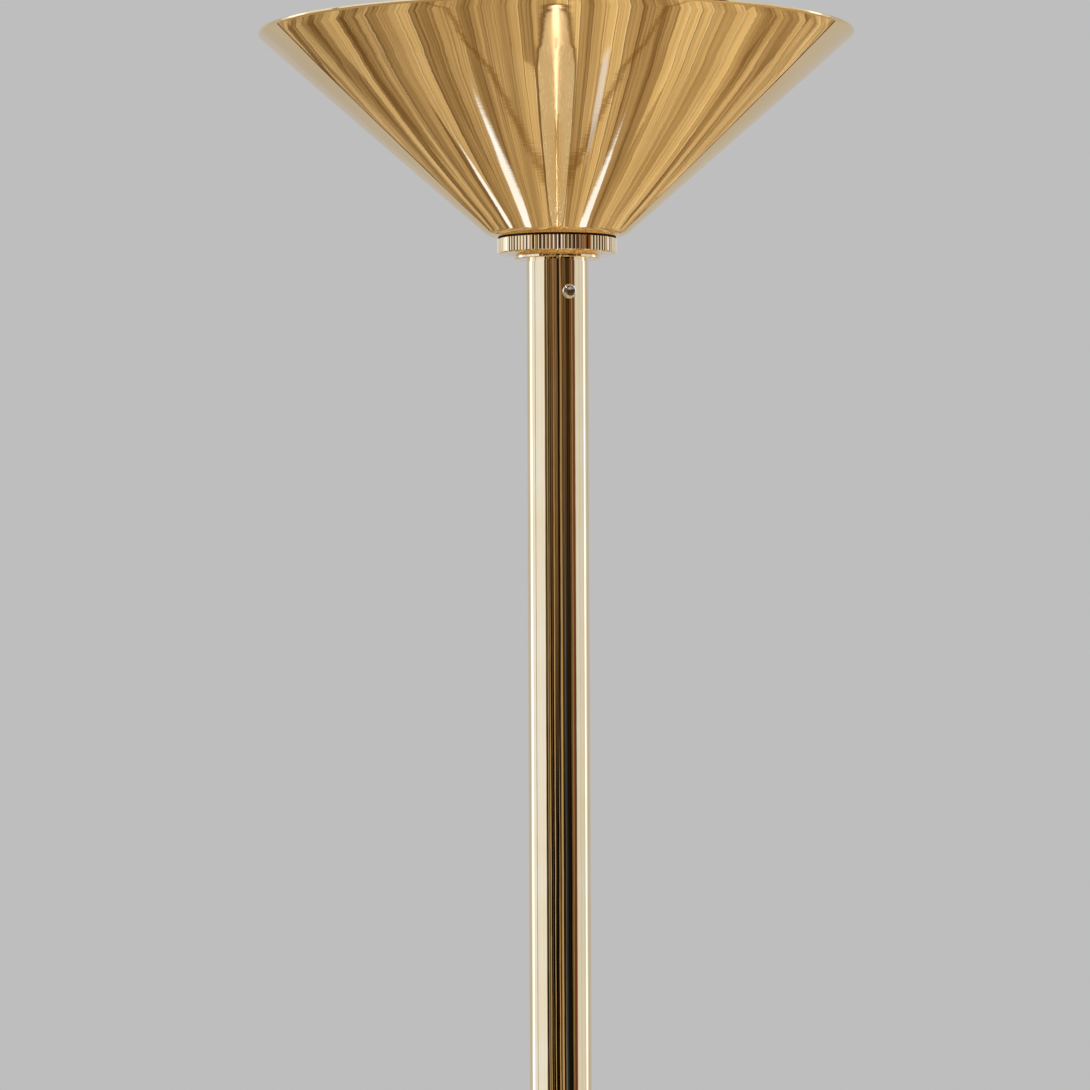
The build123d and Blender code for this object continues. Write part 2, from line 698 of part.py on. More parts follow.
# ---------------------------------------------------------------- cord inlet
with BuildPart() as cord_bushing:
    with BuildSketch(Plane.XZ.offset(-BASE_R + 12)):
        with Locations((0, INLET_Z)):
            Circle(INLET_R)
    extrude(amount=-13.4)
    with BuildSketch(Plane.XZ.offset(-BASE_R)):
        with Locations((0, INLET_Z)):
            Circle(INLET_R + 2)
    extrude(amount=-1.4)
    chamfer(cord_bushing.edges().filter_by(GeomType.CIRCLE).sort_by(Axis.Y)[-1], 0.6)
    with BuildSketch(Plane.XZ.offset(-COVER_INNER_R + 0.8)):
        with Locations((0, INLET_Z)):
            Circle(INLET_R + 1)
    extrude(amount=1.5)
    with BuildSketch(Plane.XZ.offset(-BASE_R - 10)):
        with Locations((0, INLET_Z)):
            Circle(INLET_BORE_R)
    extrude(amount=30, mode=Mode.SUBTRACT)
finish(cord_bushing, "cord_bushing")

# ---------------------------------------------------------------- foot switch
SWITCH_LOW = 6.0
SWITCH_HIGH = BASE_TOP - COVER_SHEET
COLLAR_TOP = BASE_TOP + 3.0
CHAMBER_R = 5.0
CHAMBER_LOW = 8.0
CHAMBER_HIGH = 19.0
STEM_FOOT = 17.4
SPRING_SEAT = STEM_FOOT - 0.05
NUT_TOP = BASE_TOP + 2.6
BUTTON_LOW = COLLAR_TOP + BUTTON_TRAVEL + 0.5
BUTTON_HIGH = BUTTON_LOW + 6.0


def switch_disc(low, high, radius, mode=Mode.ADD):
    """A disc on the foot switch's axis."""
    with Locations((0, SWITCH_Y, low)):
        Cylinder(radius, high - low, align=UPWARDS, mode=mode)


with BuildPart() as switch_body:
    switch_disc(SWITCH_LOW, SWITCH_HIGH, SWITCH_R)
    fillet(switch_body.edges().filter_by(GeomType.CIRCLE), 1)
    switch_disc(SWITCH_HIGH, COLLAR_TOP, COLLAR_R)
    switch_disc(CHAMBER_LOW, CHAMBER_HIGH, CHAMBER_R, Mode.SUBTRACT)
    switch_disc(CHAMBER_HIGH, COLLAR_TOP, STEM_R + 0.08, Mode.SUBTRACT)
finish(switch_body, "switch_body")

with BuildPart() as switch_nut:
    switch_disc(BASE_TOP, NUT_TOP, BUTTON_R + 1.5)
    chamfer(switch_nut.edges().filter_by(GeomType.CIRCLE).sort_by(Axis.Z)[-1], 0.6)
    switch_disc(BASE_TOP, NUT_TOP, COLLAR_R + 0.03, Mode.SUBTRACT)
finish(switch_nut, "switch_nut")

with BuildPart() as foot_button:
    switch_disc(BUTTON_LOW, BUTTON_HIGH, BUTTON_R)
    fillet(foot_button.edges().filter_by(GeomType.CIRCLE).sort_by(Axis.Z)[-1], 2.5)
    chamfer(foot_button.edges().filter_by(GeomType.CIRCLE).sort_by(Axis.Z)[0], 0.4)
    switch_disc(STEM_FOOT, BUTTON_LOW, STEM_R)
    switch_disc(STEM_FOOT, STEM_FOOT + 1.5, CHAMBER_R - 0.4)
finish(foot_button, "foot_button")

with BuildPart() as switch_spring:
    switch_disc(CHAMBER_LOW, SPRING_SEAT, CHAMBER_R - 0.6)
    switch_disc(CHAMBER_LOW, SPRING_SEAT, CHAMBER_R - 1.5, Mode.SUBTRACT)
finish(switch_spring, "switch_spring")

# ---------------------------------------------------------------- terminal block
BLOCK_X, BLOCK_Y = 40.0, 18.0
BLOCK_MID = 34.0
BLOCK_TOP = PLATE_TOP + 10.5
WIRE_Z = PLATE_TOP + 4.0
POLE_PITCH = 8.0
CLAMP_DEPTH = 4.0

with BuildPart() as terminal_block:
    with BuildSketch(Plane.XY.offset(PLATE_TOP)):
        with Locations((0, BLOCK_MID)):
            RectangleRounded(BLOCK_X, BLOCK_Y, 1.5)
    extrude(amount=BLOCK_TOP - PLATE_TOP)
    with BuildSketch(Plane.XY.offset(BLOCK_TOP)):
        with Locations((0, BLOCK_MID)):
            with GridLocations(POLE_PITCH, 9.0, 4, 2):
                Circle(2.0)
    extrude(amount=-CLAMP_DEPTH, mode=Mode.SUBTRACT)
    with BuildSketch(Plane.XZ.offset(-BLOCK_MID)):
        with Locations((0, WIRE_Z)):
            with GridLocations(POLE_PITCH, 1, 4, 1):
                Circle(1.6)
    extrude(amount=BLOCK_Y / 2, both=True, mode=Mode.SUBTRACT)
    with BuildSketch(Plane.XY.offset(BLOCK_TOP)):
        with Locations((0, BLOCK_MID)):
            with GridLocations(POLE_PITCH, 1, 3, 1):
                Rectangle(1.2, BLOCK_Y)
    extrude(amount=-2.0, mode=Mode.SUBTRACT)
finish(terminal_block, "terminal_block")

with BuildPart() as terminal_screws:
    with BuildSketch(Plane.XY.offset(BLOCK_TOP - CLAMP_DEPTH)):
        with Locations((0, BLOCK_MID)):
            with GridLocations(POLE_PITCH, 9.0, 4, 2):
                Circle(1.9)
    extrude(amount=2.2)
    with BuildSketch(Plane.XY.offset(BLOCK_TOP - CLAMP_DEPTH + 2.2)):
        with Locations((0, BLOCK_MID)):
            with GridLocations(POLE_PITCH, 9.0, 4, 2):
                Rectangle(5, 0.7)
    extrude(amount=-0.9, mode=Mode.SUBTRACT)
finish(terminal_screws, "terminal_screws")

# ---------------------------------------------------------------- leads in the base
BLOCK_FRONT = BLOCK_MID - BLOCK_Y / 2
BLOCK_BACK = BLOCK_MID + BLOCK_Y / 2
LIVE_IN, LIVE_OUT, NEUTRAL, EARTH = (-1.5 * POLE_PITCH, -0.5 * POLE_PITCH, 0.5 * POLE_PITCH, 1.5 * POLE_PITCH)
CORE_START = CABLE_LOW - 0.1
CORE_LOW = PLATE_TOP + 1.6
SWITCH_FRONT = SWITCH_Y + SWITCH_R + 0.2


def core_route(start_x, start_y, clamp_x):
    """Down out of the cable, back along the bottom plate and up into a clamp."""
    return [
        (start_x, start_y, CORE_START),
        (start_x, start_y, CORE_LOW),
        (clamp_x, BLOCK_FRONT - 7, CORE_LOW),
        (clamp_x, BLOCK_FRONT - 2, WIRE_Z),
        (clamp_x, BLOCK_FRONT + 3, WIRE_Z),
    ]


cores = [
    make_lead(core_route(-LEAD_SPREAD, 0, LIVE_OUT), 1.2),
    make_lead(core_route(LEAD_SPREAD, 0, EARTH), 1.2),
    make_lead(core_route(0, LEAD_SPREAD + 0.4, NEUTRAL), 1.2),
]
with BuildPart() as terminal_leads:
    add([core.part for core in cores])
finish(terminal_leads, "terminal_leads")

switch_routes = [
    [
        (LIVE_IN, BLOCK_FRONT + 3, WIRE_Z),
        (LIVE_IN - 1, BLOCK_FRONT - 8, WIRE_Z),
        (-16, 0, WIRE_Z),
        (4, -46, WIRE_Z),
        (4, SWITCH_FRONT, WIRE_Z),
    ],
    [
        (LIVE_OUT, BLOCK_BACK - 3, WIRE_Z),
        (LIVE_OUT - 1, BLOCK_BACK + 6, WIRE_Z),
        (-29, BLOCK_BACK + 1, WIRE_Z),
        (-27, 0, WIRE_Z),
        (-4, -48, WIRE_Z),
        (-4, SWITCH_FRONT, WIRE_Z),
    ],
]
with BuildPart() as switch_leads:
    add([make_lead(route, 5.0).part for route in switch_routes])
finish(switch_leads, "switch_leads")

with BuildPart() as base_earth_tag:
    with BuildSketch(Plane.XY.offset(BASE_TAG_Z)):
        Circle(8)
        with Locations((11, 0)):
            Rectangle(10, 4)
        Circle(CLEAR_R, mode=Mode.SUBTRACT)
    extrude(amount=TAG_T)
finish(base_earth_tag, "base_earth_tag")

TAG_TAIL = (14.5, BASE_TAG_Z - LEAD_R)
earth_link_route = [
    (EARTH, BLOCK_BACK - 3, WIRE_Z),
    (EARTH + 1, BLOCK_BACK + 5, WIRE_Z),
    (28, BLOCK_BACK, WIRE_Z),
    (27, 8, WIRE_Z + 1),
    (19, 0.5, TAG_TAIL[1]),
    (TAG_TAIL[0] - 1.5, 0, TAG_TAIL[1]),
]
finish(make_lead(earth_link_route, 2.5), "earth_link")
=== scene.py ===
"""Torchiere floor lamp: the looks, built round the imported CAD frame. Metres, +Z up, front is -Y."""

import json
from math import atan2, cos, pi, radians, sin, tan, tau

import bmesh
import bpy
from mathutils import Euler, Matrix, Vector, noise


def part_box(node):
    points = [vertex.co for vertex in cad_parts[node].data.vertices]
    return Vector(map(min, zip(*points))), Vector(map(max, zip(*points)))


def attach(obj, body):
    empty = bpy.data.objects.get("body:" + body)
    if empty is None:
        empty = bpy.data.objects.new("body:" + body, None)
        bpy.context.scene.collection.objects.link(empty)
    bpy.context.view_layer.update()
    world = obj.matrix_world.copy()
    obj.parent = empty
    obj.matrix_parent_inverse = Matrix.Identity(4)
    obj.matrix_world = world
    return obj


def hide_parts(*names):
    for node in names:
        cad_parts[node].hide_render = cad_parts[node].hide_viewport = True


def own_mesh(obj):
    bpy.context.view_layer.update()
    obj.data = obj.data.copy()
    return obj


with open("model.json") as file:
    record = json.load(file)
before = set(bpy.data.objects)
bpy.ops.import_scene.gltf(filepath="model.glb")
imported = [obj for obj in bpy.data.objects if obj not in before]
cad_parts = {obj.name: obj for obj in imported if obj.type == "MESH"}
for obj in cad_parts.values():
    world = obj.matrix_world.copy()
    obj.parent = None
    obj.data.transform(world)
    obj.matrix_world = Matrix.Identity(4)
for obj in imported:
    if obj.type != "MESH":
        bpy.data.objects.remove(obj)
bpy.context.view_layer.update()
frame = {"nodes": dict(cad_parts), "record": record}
NODES = frame["nodes"]
MM = 0.001


# ---------------------------------------------------------------- node helpers
class Shader:
    """A material or world node tree with short ways to add and join nodes."""

    def __init__(self, owner):
        owner.use_nodes = True
        self.owner = owner
        self.tree = owner.node_tree
        self.tree.nodes.clear()

    def add(self, kind, **settings):
        node = self.tree.nodes.new(kind)
        for key, value in settings.items():
            setattr(node, key, value)
        return node

    def feed(self, socket, value):
        """Join an output to the socket, or set the socket's own value."""
        if isinstance(value, bpy.types.NodeSocket):
            self.tree.links.new(value, socket)
        else:
            socket.default_value = value

    def math(self, operation, a, b=0.0, c=0.0, clamp=False):
        node = self.add("ShaderNodeMath", operation=operation, use_clamp=clamp)
        for socket, value in zip(node.inputs, (a, b, c)):
            self.feed(socket, value)
        return node.outputs[0]

    def step(self, value, low, high):
        """0 below low, 1 above high, smooth between."""
        node = self.add("ShaderNodeMapRange", interpolation_type="SMOOTHSTEP", clamp=True)
        self.feed(node.inputs["Value"], value)
        self.feed(node.inputs["From Min"], low)
        self.feed(node.inputs["From Max"], high)
        return node.outputs["Result"]

    def spread(self, value, low, high, to_low, to_high):
        """Linear map of value from one range to another, clamped."""
        node = self.add("ShaderNodeMapRange", clamp=True)
        for socket, number in zip(node.inputs, (value, low, high, to_low, to_high)):
            self.feed(socket, number)
        return node.outputs["Result"]

    def mix(self, factor, a, b):
        node = self.add("ShaderNodeMix", data_type="RGBA")
        self.feed(node.inputs["Factor"], factor)
        self.feed(node.inputs[6], a)
        self.feed(node.inputs[7], b)
        return node.outputs[2]

    def xyz(self, vector):
        node = self.add("ShaderNodeSeparateXYZ")
        self.feed(node.inputs[0], vector)
        return node.outputs

    def vector(self, x, y, z):
        node = self.add("ShaderNodeCombineXYZ")
        for socket, value in zip(node.inputs, (x, y, z)):
            self.feed(socket, value)
        return node.outputs[0]

    def noise(self, vector, scale, detail=2.0, roughness=0.5, distortion=0.0):
        node = self.add("ShaderNodeTexNoise")
        self.feed(node.inputs["Vector"], vector)
        self.feed(node.inputs["Scale"], scale)
        self.feed(node.inputs["Detail"], detail)
        self.feed(node.inputs["Roughness"], roughness)
        self.feed(node.inputs["Distortion"], distortion)
        return node.outputs[0]

    def voronoi(self, vector, scale, feature="F1"):
        node = self.add("ShaderNodeTexVoronoi", feature=feature)
        self.feed(node.inputs["Vector"], vector)
        self.feed(node.inputs["Scale"], scale)
        return node.outputs[0]

    def bump(self, height, strength, distance, normal=None):
        node = self.add("ShaderNodeBump")
        self.feed(node.inputs["Height"], height)
        self.feed(node.inputs["Strength"], strength)
        self.feed(node.inputs["Distance"], distance)
        if normal is not None:
            self.feed(node.inputs["Normal"], normal)
        return node.outputs[0]

    def place(self):
        """Position in the row frame: every object's origin is the frame's."""
        return self.add("ShaderNodeTexCoord").outputs["Object"]

    def reach(self, x, y):
        """Distance from the lamp's axis."""
        squares = self.math("ADD", self.math("MULTIPLY", x, x), self.math("MULTIPLY", y, y))
        return self.math("SQRT", squares)

    def around(self, turns, rise):
        """A seamless vector that changes round the lamp's axis and slowly along it."""
        x, y, z = self.xyz(self.place())
        radius = self.math("MAXIMUM", self.reach(x, y), 1e-5)
        return self.vector(
            self.math("MULTIPLY", self.math("DIVIDE", x, radius), turns),
            self.math("MULTIPLY", self.math("DIVIDE", y, radius), turns),
            self.math("MULTIPLY", z, rise),
        )


def surface(name, **inputs):
    """A new material with one Principled shader; returns (material, shader helper, principled)."""
    material = bpy.data.materials.new(name)
    s = Shader(material)
    principled = s.add("ShaderNodeBsdfPrincipled")
    out = s.add("ShaderNodeOutputMaterial")
    s.tree.links.new(principled.outputs[0], out.inputs["Surface"])
    for key, value in inputs.items():
        s.feed(principled.inputs[key.replace("_", " ")], value)
    return material, s, principled


# ---------------------------------------------------------------- materials

def make_spun_brass():
    """Spun and mirror-polished sheet: fine turning ripples and faint clouds of tone."""
    m, s, p = surface("spun_brass", Metallic=1.0, Anisotropic=0.6, Anisotropic_Rotation=0.25)
    cloud = s.noise(s.place(), 16.0, 3.0, 0.55)
    tone = s.spread(cloud, 0.35, 0.65, 0.0, 1.0)
    s.feed(p.inputs["Base Color"], s.mix(tone, (0.87, 0.63, 0.31, 1), (0.93, 0.70, 0.38, 1)))
    s.feed(p.inputs["Roughness"], s.spread(s.noise(s.place(), 40.0, 4.0), 0.3, 0.7, 0.018, 0.038))
    tangent = s.add("ShaderNodeTangent", direction_type="RADIAL", axis="Z")
    s.feed(p.inputs["Tangent"], tangent.outputs[0])
    ripple = s.noise(s.around(0.5, 1500.0), 1.0, 2.0, 0.6)
    swell = s.noise(s.around(0.8, 130.0), 1.0, 2.0)
    dents = s.noise(s.around(14.0, 45.0), 1.0, 2.0)
    normal = s.bump(ripple, 1.0, 0.0000026)
    normal = s.bump(swell, 1.0, 0.000018, normal)
    s.feed(p.inputs["Normal"], s.bump(dents, 1.0, 0.00001, normal))
    return m


def make_satin_brass():
    """The base's cover: turned to a satin, so light smears out from its middle in streaks; streaks of
    painted highlight also run out from the middle in its colour.
    """
    m, s, p = surface("satin_brass", Metallic=1.0, Anisotropic=0.9, Anisotropic_Rotation=0.25)
    rings = s.noise(s.around(0.4, 0.0), 1.0, 1.0)
    x, y, z = s.xyz(s.place())
    across = s.math("MULTIPLY", s.reach(x, y), 2600.0)
    grooves = s.noise(s.vector(across, rings, s.math("MULTIPLY", z, 900.0)), 1.0, 3.0, 0.6)
    cloud = s.noise(s.place(), 18.0, 4.0, 0.6)
    # Painted highlight: streaks running out from the middle make the colour lighter, as light on a turned
    # face would.
    painted_rays = s.noise(s.around(40.0, 0.0), 1.0, 3.0, 0.6)
    tone = s.math("ADD", s.math("MULTIPLY", grooves, 0.3), s.math("MULTIPLY", cloud, 0.2))
    tone = s.math("ADD", tone, s.math("MULTIPLY", painted_rays, 0.5))
    tone = s.spread(tone, 0.40, 0.60, 0.0, 1.0)
    s.feed(p.inputs["Base Color"], s.mix(tone, (0.86, 0.69, 0.43, 1), (0.95, 0.80, 0.55, 1)))
    s.feed(p.inputs["Roughness"], s.spread(cloud, 0.3, 0.7, 0.22, 0.30))
    tangent = s.add("ShaderNodeTangent", direction_type="RADIAL", axis="Z")
    s.feed(p.inputs["Tangent"], tangent.outputs[0])
    s.feed(p.inputs["Normal"], s.bump(grooves, 0.25, 0.00002))
    return m


def make_polished_brass():
    """Drawn and polished tube: long soft waves, and a few faint smudges."""
    m, s, p = surface("polished_brass", Metallic=1.0)
    cloud = s.noise(s.place(), 30.0, 3.0, 0.6)
    tone = s.spread(cloud, 0.35, 0.65, 0.0, 1.0)
    s.feed(p.inputs["Base Color"], s.mix(tone, (0.91, 0.71, 0.41, 1), (0.94, 0.76, 0.48, 1)))
    smudge = s.noise(s.place(), 22.0, 5.0, 0.6)
    s.feed(p.inputs["Roughness"], s.spread(smudge, 0.4, 0.75, 0.008, 0.03))
    waves = s.noise(s.around(3.0, 28.0), 1.0, 3.0, 0.6)
    lines = s.noise(s.around(24.0, 40.0), 1.0, 2.0)
    normal = s.bump(waves, 1.0, 0.000012)
    s.feed(p.inputs["Normal"], s.bump(lines, 1.0, 0.0000008, normal))
    return m


def make_steel(name, colour, low, high, spangle):
    """Plated or bright steel with fine wear."""
    m, s, p = surface(name, Metallic=1.0)
    cells = s.voronoi(s.place(), spangle)
    grain = s.noise(s.place(), spangle * 4, 4.0)
    tone = s.math("ADD", s.math("MULTIPLY", cells, 0.5), s.math("MULTIPLY", grain, 0.5))
    darker = tuple(c * 0.78 for c in colour)
    s.feed(p.inputs["Base Color"], s.mix(s.spread(tone, 0.2, 0.8, 0.0, 1.0), (*darker, 1), (*colour, 1)))
    s.feed(p.inputs["Roughness"], s.spread(grain, 0.3, 0.7, low, high))
    s.feed(p.inputs["Normal"], s.bump(grain, 0.15, 0.00005))
    return m


def make_plain(name, colour, rough, grain_scale, grain_depth, variation=0.25, **inputs):
    """Moulded, fired or rubber surface: fine grain and slight tone changes."""
    m, s, p = surface(name, **inputs)
    grain = s.noise(s.place(), grain_scale, 5.0, 0.6)
    cloud = s.noise(s.place(), grain_scale * 0.06, 3.0)
    darker = tuple(c * (1 - variation) for c in colour)
    tone = s.math("ADD", s.math("MULTIPLY", grain, 0.4), s.math("MULTIPLY", cloud, 0.6))
    s.feed(p.inputs["Base Color"], s.mix(s.spread(tone, 0.35, 0.65, 0.0, 1.0), (*darker, 1), (*colour, 1)))
    s.feed(p.inputs["Roughness"], s.spread(grain, 0.3, 0.7, rough - 0.06, rough + 0.06))
    s.feed(p.inputs["Normal"], s.bump(grain, 0.4, grain_depth))
    return m


def make_felt():
    """Pressed wool: tangled short fibres over soft blotches."""
    m, s, p = surface("felt", Sheen_Weight=0.5, Sheen_Roughness=0.5, Sheen_Tint=(0.5, 0.5, 0.52, 1))
    x, y, z = s.xyz(s.place())
    fibres = s.noise(s.vector(x, y, s.math("MULTIPLY", z, 0.3)), 900.0, 6.0, 0.75, 1.5)
    blotch = s.noise(s.place(), 60.0, 3.0)
    tone = s.math("ADD", s.math("MULTIPLY", fibres, 0.7), s.math("MULTIPLY", blotch, 0.3))
    tone = s.spread(tone, 0.35, 0.7, 0.0, 1.0)
    s.feed(p.inputs["Base Color"], s.mix(tone, (0.012, 0.012, 0.013, 1), (0.07, 0.07, 0.072, 1)))
    s.feed(p.inputs["Roughness"], s.spread(fibres, 0.3, 0.7, 0.85, 1.0))
    s.feed(p.inputs["Normal"], s.bump(fibres, 0.8, 0.0004))
    return m


def make_cast_iron():
    """Sand-cast and dipped in black enamel."""
    m, s, p = surface("cast_iron", Metallic=0.0, Specular_IOR_Level=0.45)
    sand = s.noise(s.place(), 420.0, 6.0, 0.7)
    pits = s.voronoi(s.place(), 190.0)
    rust = s.step(s.noise(s.place(), 45.0, 5.0, 0.65), 0.60, 0.72)
    s.feed(p.inputs["Base Color"], s.mix(rust, (0.02, 0.02, 0.021, 1), (0.055, 0.035, 0.025, 1)))
    s.feed(p.inputs["Roughness"], s.spread(sand, 0.3, 0.7, 0.42, 0.75))
    rough = s.bump(pits, 0.35, 0.0003)
    s.feed(p.inputs["Normal"], s.bump(sand, 0.6, 0.0003, rough))
    return m


def make_quartz():
    """Clear fused quartz with faint drawing lines."""
    m, s, p = surface(
        "quartz", Base_Color=(1, 1, 1, 1), Transmission_Weight=1.0, IOR=1.46
    )
    x, y, z = s.xyz(s.place())
    lines = s.noise(s.vector(s.math("MULTIPLY", x, 20.0), y, z), 300.0, 2.0)
    s.feed(p.inputs["Roughness"], s.spread(lines, 0.3, 0.7, 0.0, 0.03))
    s.feed(p.inputs["Normal"], s.bump(lines, 0.12, 0.00005))
    return m


def make_safety_glass():
    """Clear disc with a ground edge, a little dust and a greenish cast."""
    m, s, p = surface(
        "safety_glass", Base_Color=(0.93, 0.985, 0.965, 1), Transmission_Weight=1.0, IOR=1.52
    )
    place = s.xyz(s.place())
    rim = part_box("glass_cover")[1].x
    edge = s.step(s.reach(place[0], place[1]), rim - 0.9 * MM, rim - 0.4 * MM)
    dust = s.spread(s.noise(s.place(), 90.0, 6.0, 0.7), 0.5, 0.8, 0.0, 0.05)
    s.feed(p.inputs["Roughness"], s.math("ADD", s.math("MULTIPLY", edge, 0.45), dust))
    ground = s.noise(s.place(), 4000.0, 2.0)
    s.feed(p.inputs["Normal"], s.bump(s.math("MULTIPLY", ground, edge), 0.3, 0.0001))
    return m


def make_sleeve(name, colour):
    """Heat-resistant silicone lead with a faint woven glass sleeve."""
    m, s, p = surface(name, Roughness=0.55)
    weave = s.add("ShaderNodeTexWave", wave_type="BANDS", bands_direction="DIAGONAL")
    s.feed(weave.inputs["Vector"], s.place())
    s.feed(weave.inputs["Scale"], 700.0)
    s.feed(weave.inputs["Distortion"], 1.5)
    darker = tuple(c * 0.8 for c in colour)
    s.feed(p.inputs["Base Color"], s.mix(weave.outputs[1], (*darker, 1), (*colour, 1)))
    s.feed(p.inputs["Normal"], s.bump(weave.outputs[1], 0.3, 0.0001))
    return m


def earth_stripes(s, x, y, z):
    """The green and yellow of an earth lead, in slanting stripes."""
    slant = s.math("MULTIPLY", s.math("ADD", s.math("ADD", x, y), z), 2600.0)
    stripe = s.step(s.math("SINE", slant), -0.15, 0.15)
    return s.mix(stripe, (0.03, 0.28, 0.05, 1), (0.75, 0.62, 0.03, 1))


def make_earth_sleeve():
    """Green and yellow striped insulation."""
    m, s, p = surface("earth_sleeve", Roughness=0.45)
    x, y, z = s.xyz(s.place())
    s.feed(p.inputs["Base Color"], earth_stripes(s, x, y, z))
    s.feed(p.inputs["Normal"], s.bump(s.noise(s.place(), 900.0, 3.0), 0.2, 0.00005))
    return m


def make_cores():
    """The cable's three cores, brown, blue and green-yellow, told apart by where they run."""
    m, s, p = surface("cores", Roughness=0.42)
    x, y, z = s.xyz(s.place())
    past_live = s.step(s.math("ADD", x, s.math("MULTIPLY", y, 0.03)), -0.95 * MM, -0.85 * MM)
    past_neutral = s.step(s.math("SUBTRACT", x, s.math("MULTIPLY", y, 0.54)), 0.25 * MM, 0.35 * MM)
    colour = s.mix(past_live, (0.17, 0.075, 0.03, 1), (0.03, 0.12, 0.42, 1))
    s.feed(p.inputs["Base Color"], s.mix(past_neutral, colour, earth_stripes(s, x, y, z)))
    s.feed(p.inputs["Normal"], s.bump(s.noise(s.place(), 900.0, 3.0), 0.2, 0.00005))
    return m


MATERIALS = {
    "spun_brass": make_spun_brass(),
    "polished_brass": make_polished_brass(),
    "zinc_steel": make_steel("zinc_steel", (0.66, 0.67, 0.66), 0.28, 0.42, 260.0),
    "bright_steel": make_steel("bright_steel", (0.78, 0.77, 0.76), 0.10, 0.22, 900.0),
    "spring_steel": make_steel("spring_steel", (0.50, 0.50, 0.52), 0.22, 0.34, 700.0),
    "tungsten": make_steel("tungsten", (0.36, 0.35, 0.34), 0.30, 0.45, 1500.0),
    "silver_contact": make_steel("silver_contact", (0.86, 0.84, 0.80), 0.16, 0.30, 800.0),
    "black_gasket": make_plain(
        "black_gasket", (0.016, 0.010, 0.007), 0.8, 700.0, 0.0001, Specular_IOR_Level=0.25
    ),
    "cable_sheath": make_plain("cable_sheath", (0.02, 0.02, 0.02), 0.62, 900.0, 0.0001),
    "black_plastic": make_plain("black_plastic", (0.022, 0.022, 0.023), 0.48, 1400.0, 0.00008),
    "white_plastic": make_plain("white_plastic", (0.80, 0.79, 0.74), 0.42, 1100.0, 0.00004, 0.08),
    "steatite": make_plain("steatite", (0.84, 0.82, 0.76), 0.62, 1300.0, 0.00012, 0.12),
    "silicone_white": make_sleeve("silicone_white", (0.80, 0.78, 0.72)),
    "core_colours": make_plain("core_colours", (0.20, 0.09, 0.04), 0.42, 800.0, 0.00005),
    "felt": make_felt(),
    "cast_iron": make_cast_iron(),
    "quartz": make_quartz(),
    "safety_glass": make_safety_glass(),
}
SATIN = make_satin_brass()
NICKEL = make_steel("screw_nickel", (0.95, 0.94, 0.92), 0.05, 0.12, 1400.0)
BROWN = make_plain("brown_core", (0.17, 0.075, 0.03), 0.40, 800.0, 0.00004)
EARTH = make_earth_sleeve()
CORES = make_cores()

for row in frame["record"]["subparts"]:
    node = NODES[row["node"]]
    for slot in node.material_slots:
        slot.material = MATERIALS[row["material_slot"]]
for name, material in (
    ("lead_earth", EARTH),
    ("earth_link", EARTH),
    ("terminal_leads", CORES),
    ("switch_leads", BROWN),
    ("base_cover", SATIN),
):
    NODES[name].material_slots[0].material = material


# ---------------------------------------------------------------- mesh helpers
def finish_piece(piece, body, node=None):
    """Put a new piece on its body and, where it stands for one, hide its CAD node."""
    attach(piece, body)
    if node:
        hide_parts(node)
    return piece


def add_mesh(name, vertices, faces, material, sharp=40):
    """A mesh object with smooth faces, kept sharp where they meet at more than the angle."""
    mesh = bpy.data.meshes.new(name)
    mesh.from_pydata(vertices, [], faces)
    mesh.polygons.foreach_set("use_smooth", [True] * len(mesh.polygons))
    mesh.set_sharp_from_angle(angle=radians(sharp))
    mesh.materials.append(material)
    piece = bpy.data.objects.new(name, mesh)
    bpy.context.scene.collection.objects.link(piece)
    return piece


def lathe(name, outline, segments, material, sharp=40, shift=None):
    """A closed outline of (radius, height) turned round the Z axis. shift(angle, r, z) may move it."""
    vertices = []
    for step in range(segments):
        angle = tau * step / segments
        for radius, height in outline:
            if shift:
                radius, height = shift(angle, radius, height)
            vertices.append((radius * cos(angle), radius * sin(angle), height))
    count = len(outline)
    faces = []
    for step in range(segments):
        here, there = step * count, (step + 1) % segments * count
        for i in range(count):
            j = (i + 1) % count
            faces.append((here + i, there + i, there + j, here + j))
    return add_mesh(name, vertices, faces, material, sharp)


def bend(corner_in, corner, corner_out, radius, steps):
    """Points of the arc that rounds a corner of an outline."""
    a = (Vector(corner_in) - Vector(corner)).normalized()
    b = (Vector(corner_out) - Vector(corner)).normalized()
    half = a.angle(b) / 2
    reach = radius / tan(half)
    centre = Vector(corner) + (a + b).normalized() * (radius / sin(half))
    start = Vector(corner) + a * reach - centre
    end = Vector(corner) + b * reach - centre
    sweep = start.angle_signed(end)
    points = []
    for k in range(steps + 1):
        turn = -sweep * k / steps
        points.append(
            (
                centre.x + start.x * cos(turn) - start.y * sin(turn),
                centre.y + start.x * sin(turn) + start.y * cos(turn),
            )
        )
    return points


# ---------------------------------------------------------------- shade
# The same outline as the CAD shade, turned finely enough to mirror the room without facets.
SHADE_LOW, SHADE_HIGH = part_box("shade")
SHADE_R = SHADE_HIGH.x
FOOT_R = 27.0 * MM
SHEET = 1.0 * MM
BORE_R = 5.25 * MM
SEAT_R = 100.0 * MM
LIP_RISE = 1.12 * MM
RIM_FLARE = 1.127
CONE_FLARE = 1.150
RIM_Z = SHADE_HIGH.z - LIP_RISE
SEAT_Z = RIM_Z - (SHADE_R - SEAT_R) / RIM_FLARE
FLOOR_Z = SHADE_LOW.z


def cone_points(start, end, steps):
    """Evenly spaced points of a straight wall, without its ends."""
    return [
        (start[0] + (end[0] - start[0]) * k / steps, start[1] + (end[1] - start[1]) * k / steps)
        for k in range(1, steps)
    ]


